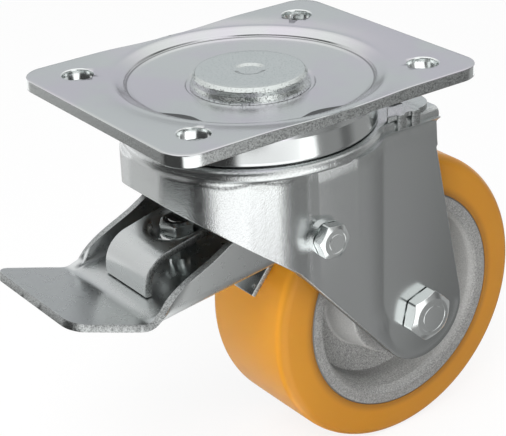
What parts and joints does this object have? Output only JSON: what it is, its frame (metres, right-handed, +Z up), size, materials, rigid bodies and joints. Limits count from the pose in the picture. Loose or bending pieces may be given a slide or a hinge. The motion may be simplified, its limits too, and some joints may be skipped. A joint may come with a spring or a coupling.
{
  "type": "braked swivel castor",
  "caption": "Heavy swivel castor with a rectangular bolt-on top plate, pressed fork, foot brake pedal and an amber polyurethane tread on a cast iron centre.",
  "frame": {"origin": "centre of the top plate's mounting face, on the swivel axis", "axes": "+Z up through the mounting face, +X towards the trailing wheel, +Y along the wheel axle"},
  "size_m": [0.2195, 0.11, 0.171],
  "materials": {
    "plate_zinc": "bright zinc plated sheet steel",
    "fork_zinc": "bright zinc plated sheet steel",
    "bolt_zinc": "bright zinc plated steel",
    "race_steel": "hardened steel",
    "tread_polyurethane": "amber cast polyurethane, satin",
    "cast_iron": "grainy painted grey cast iron"
  },
  "bodies": {
    "mount": {"top_plate": "plate_zinc", "kingpin": "bolt_zinc", "kingpin_nut": "bolt_zinc", "upper_race": "race_steel", "dust_ring": "plate_zinc", "lower_cup": "race_steel"},
    "fork": {"fork": "fork_zinc", "crown_race": "race_steel", "neck_race": "race_steel", "upper_balls": "race_steel", "lower_balls": "race_steel", "lock_plate": "fork_zinc", "axle_bolt": "bolt_zinc", "axle_washer": "bolt_zinc", "axle_nut": "bolt_zinc", "axle_sleeve": "bolt_zinc", "axle_spacer_near": "bolt_zinc", "axle_spacer_far": "bolt_zinc", "bearing_inner_near": "race_steel", "bearing_inner_far": "race_steel", "pivot_bolt": "bolt_zinc", "pivot_washer_near": "bolt_zinc", "pivot_washer_far": "bolt_zinc", "pivot_nut": "bolt_zinc", "pivot_sleeve": "bolt_zinc"},
    "wheel": {"tread": "tread_polyurethane", "wheel_centre": "cast_iron", "bearing_outer_near": "race_steel", "bearing_outer_far": "race_steel", "bearing_balls_near": "race_steel", "bearing_balls_far": "race_steel", "bearing_shield_near": "race_steel", "bearing_shield_far": "race_steel"},
    "brake": {"pedal": "fork_zinc", "brake_strap": "bolt_zinc", "clamp_bolt": "bolt_zinc", "clamp_nut": "bolt_zinc", "brake_shoe": "fork_zinc"}
  },
  "joints": [
    {"name": "swivel", "type": "hinge", "parent": "mount", "child": "fork", "pos_m": [0, 0, 0], "axis": [0, 0, 1], "continuous": true},
    {"name": "wheel_spin", "type": "hinge", "parent": "fork", "child": "wheel", "pos_m": [0.055, 0, -0.1085], "axis": [0, 1, 0], "continuous": true},
    {"name": "brake_pedal", "type": "hinge", "parent": "fork", "child": "brake", "pos_m": [0.00645, 0, -0.05961], "axis": [0, -1, 0], "range_deg": [0, 10]}
  ]
}
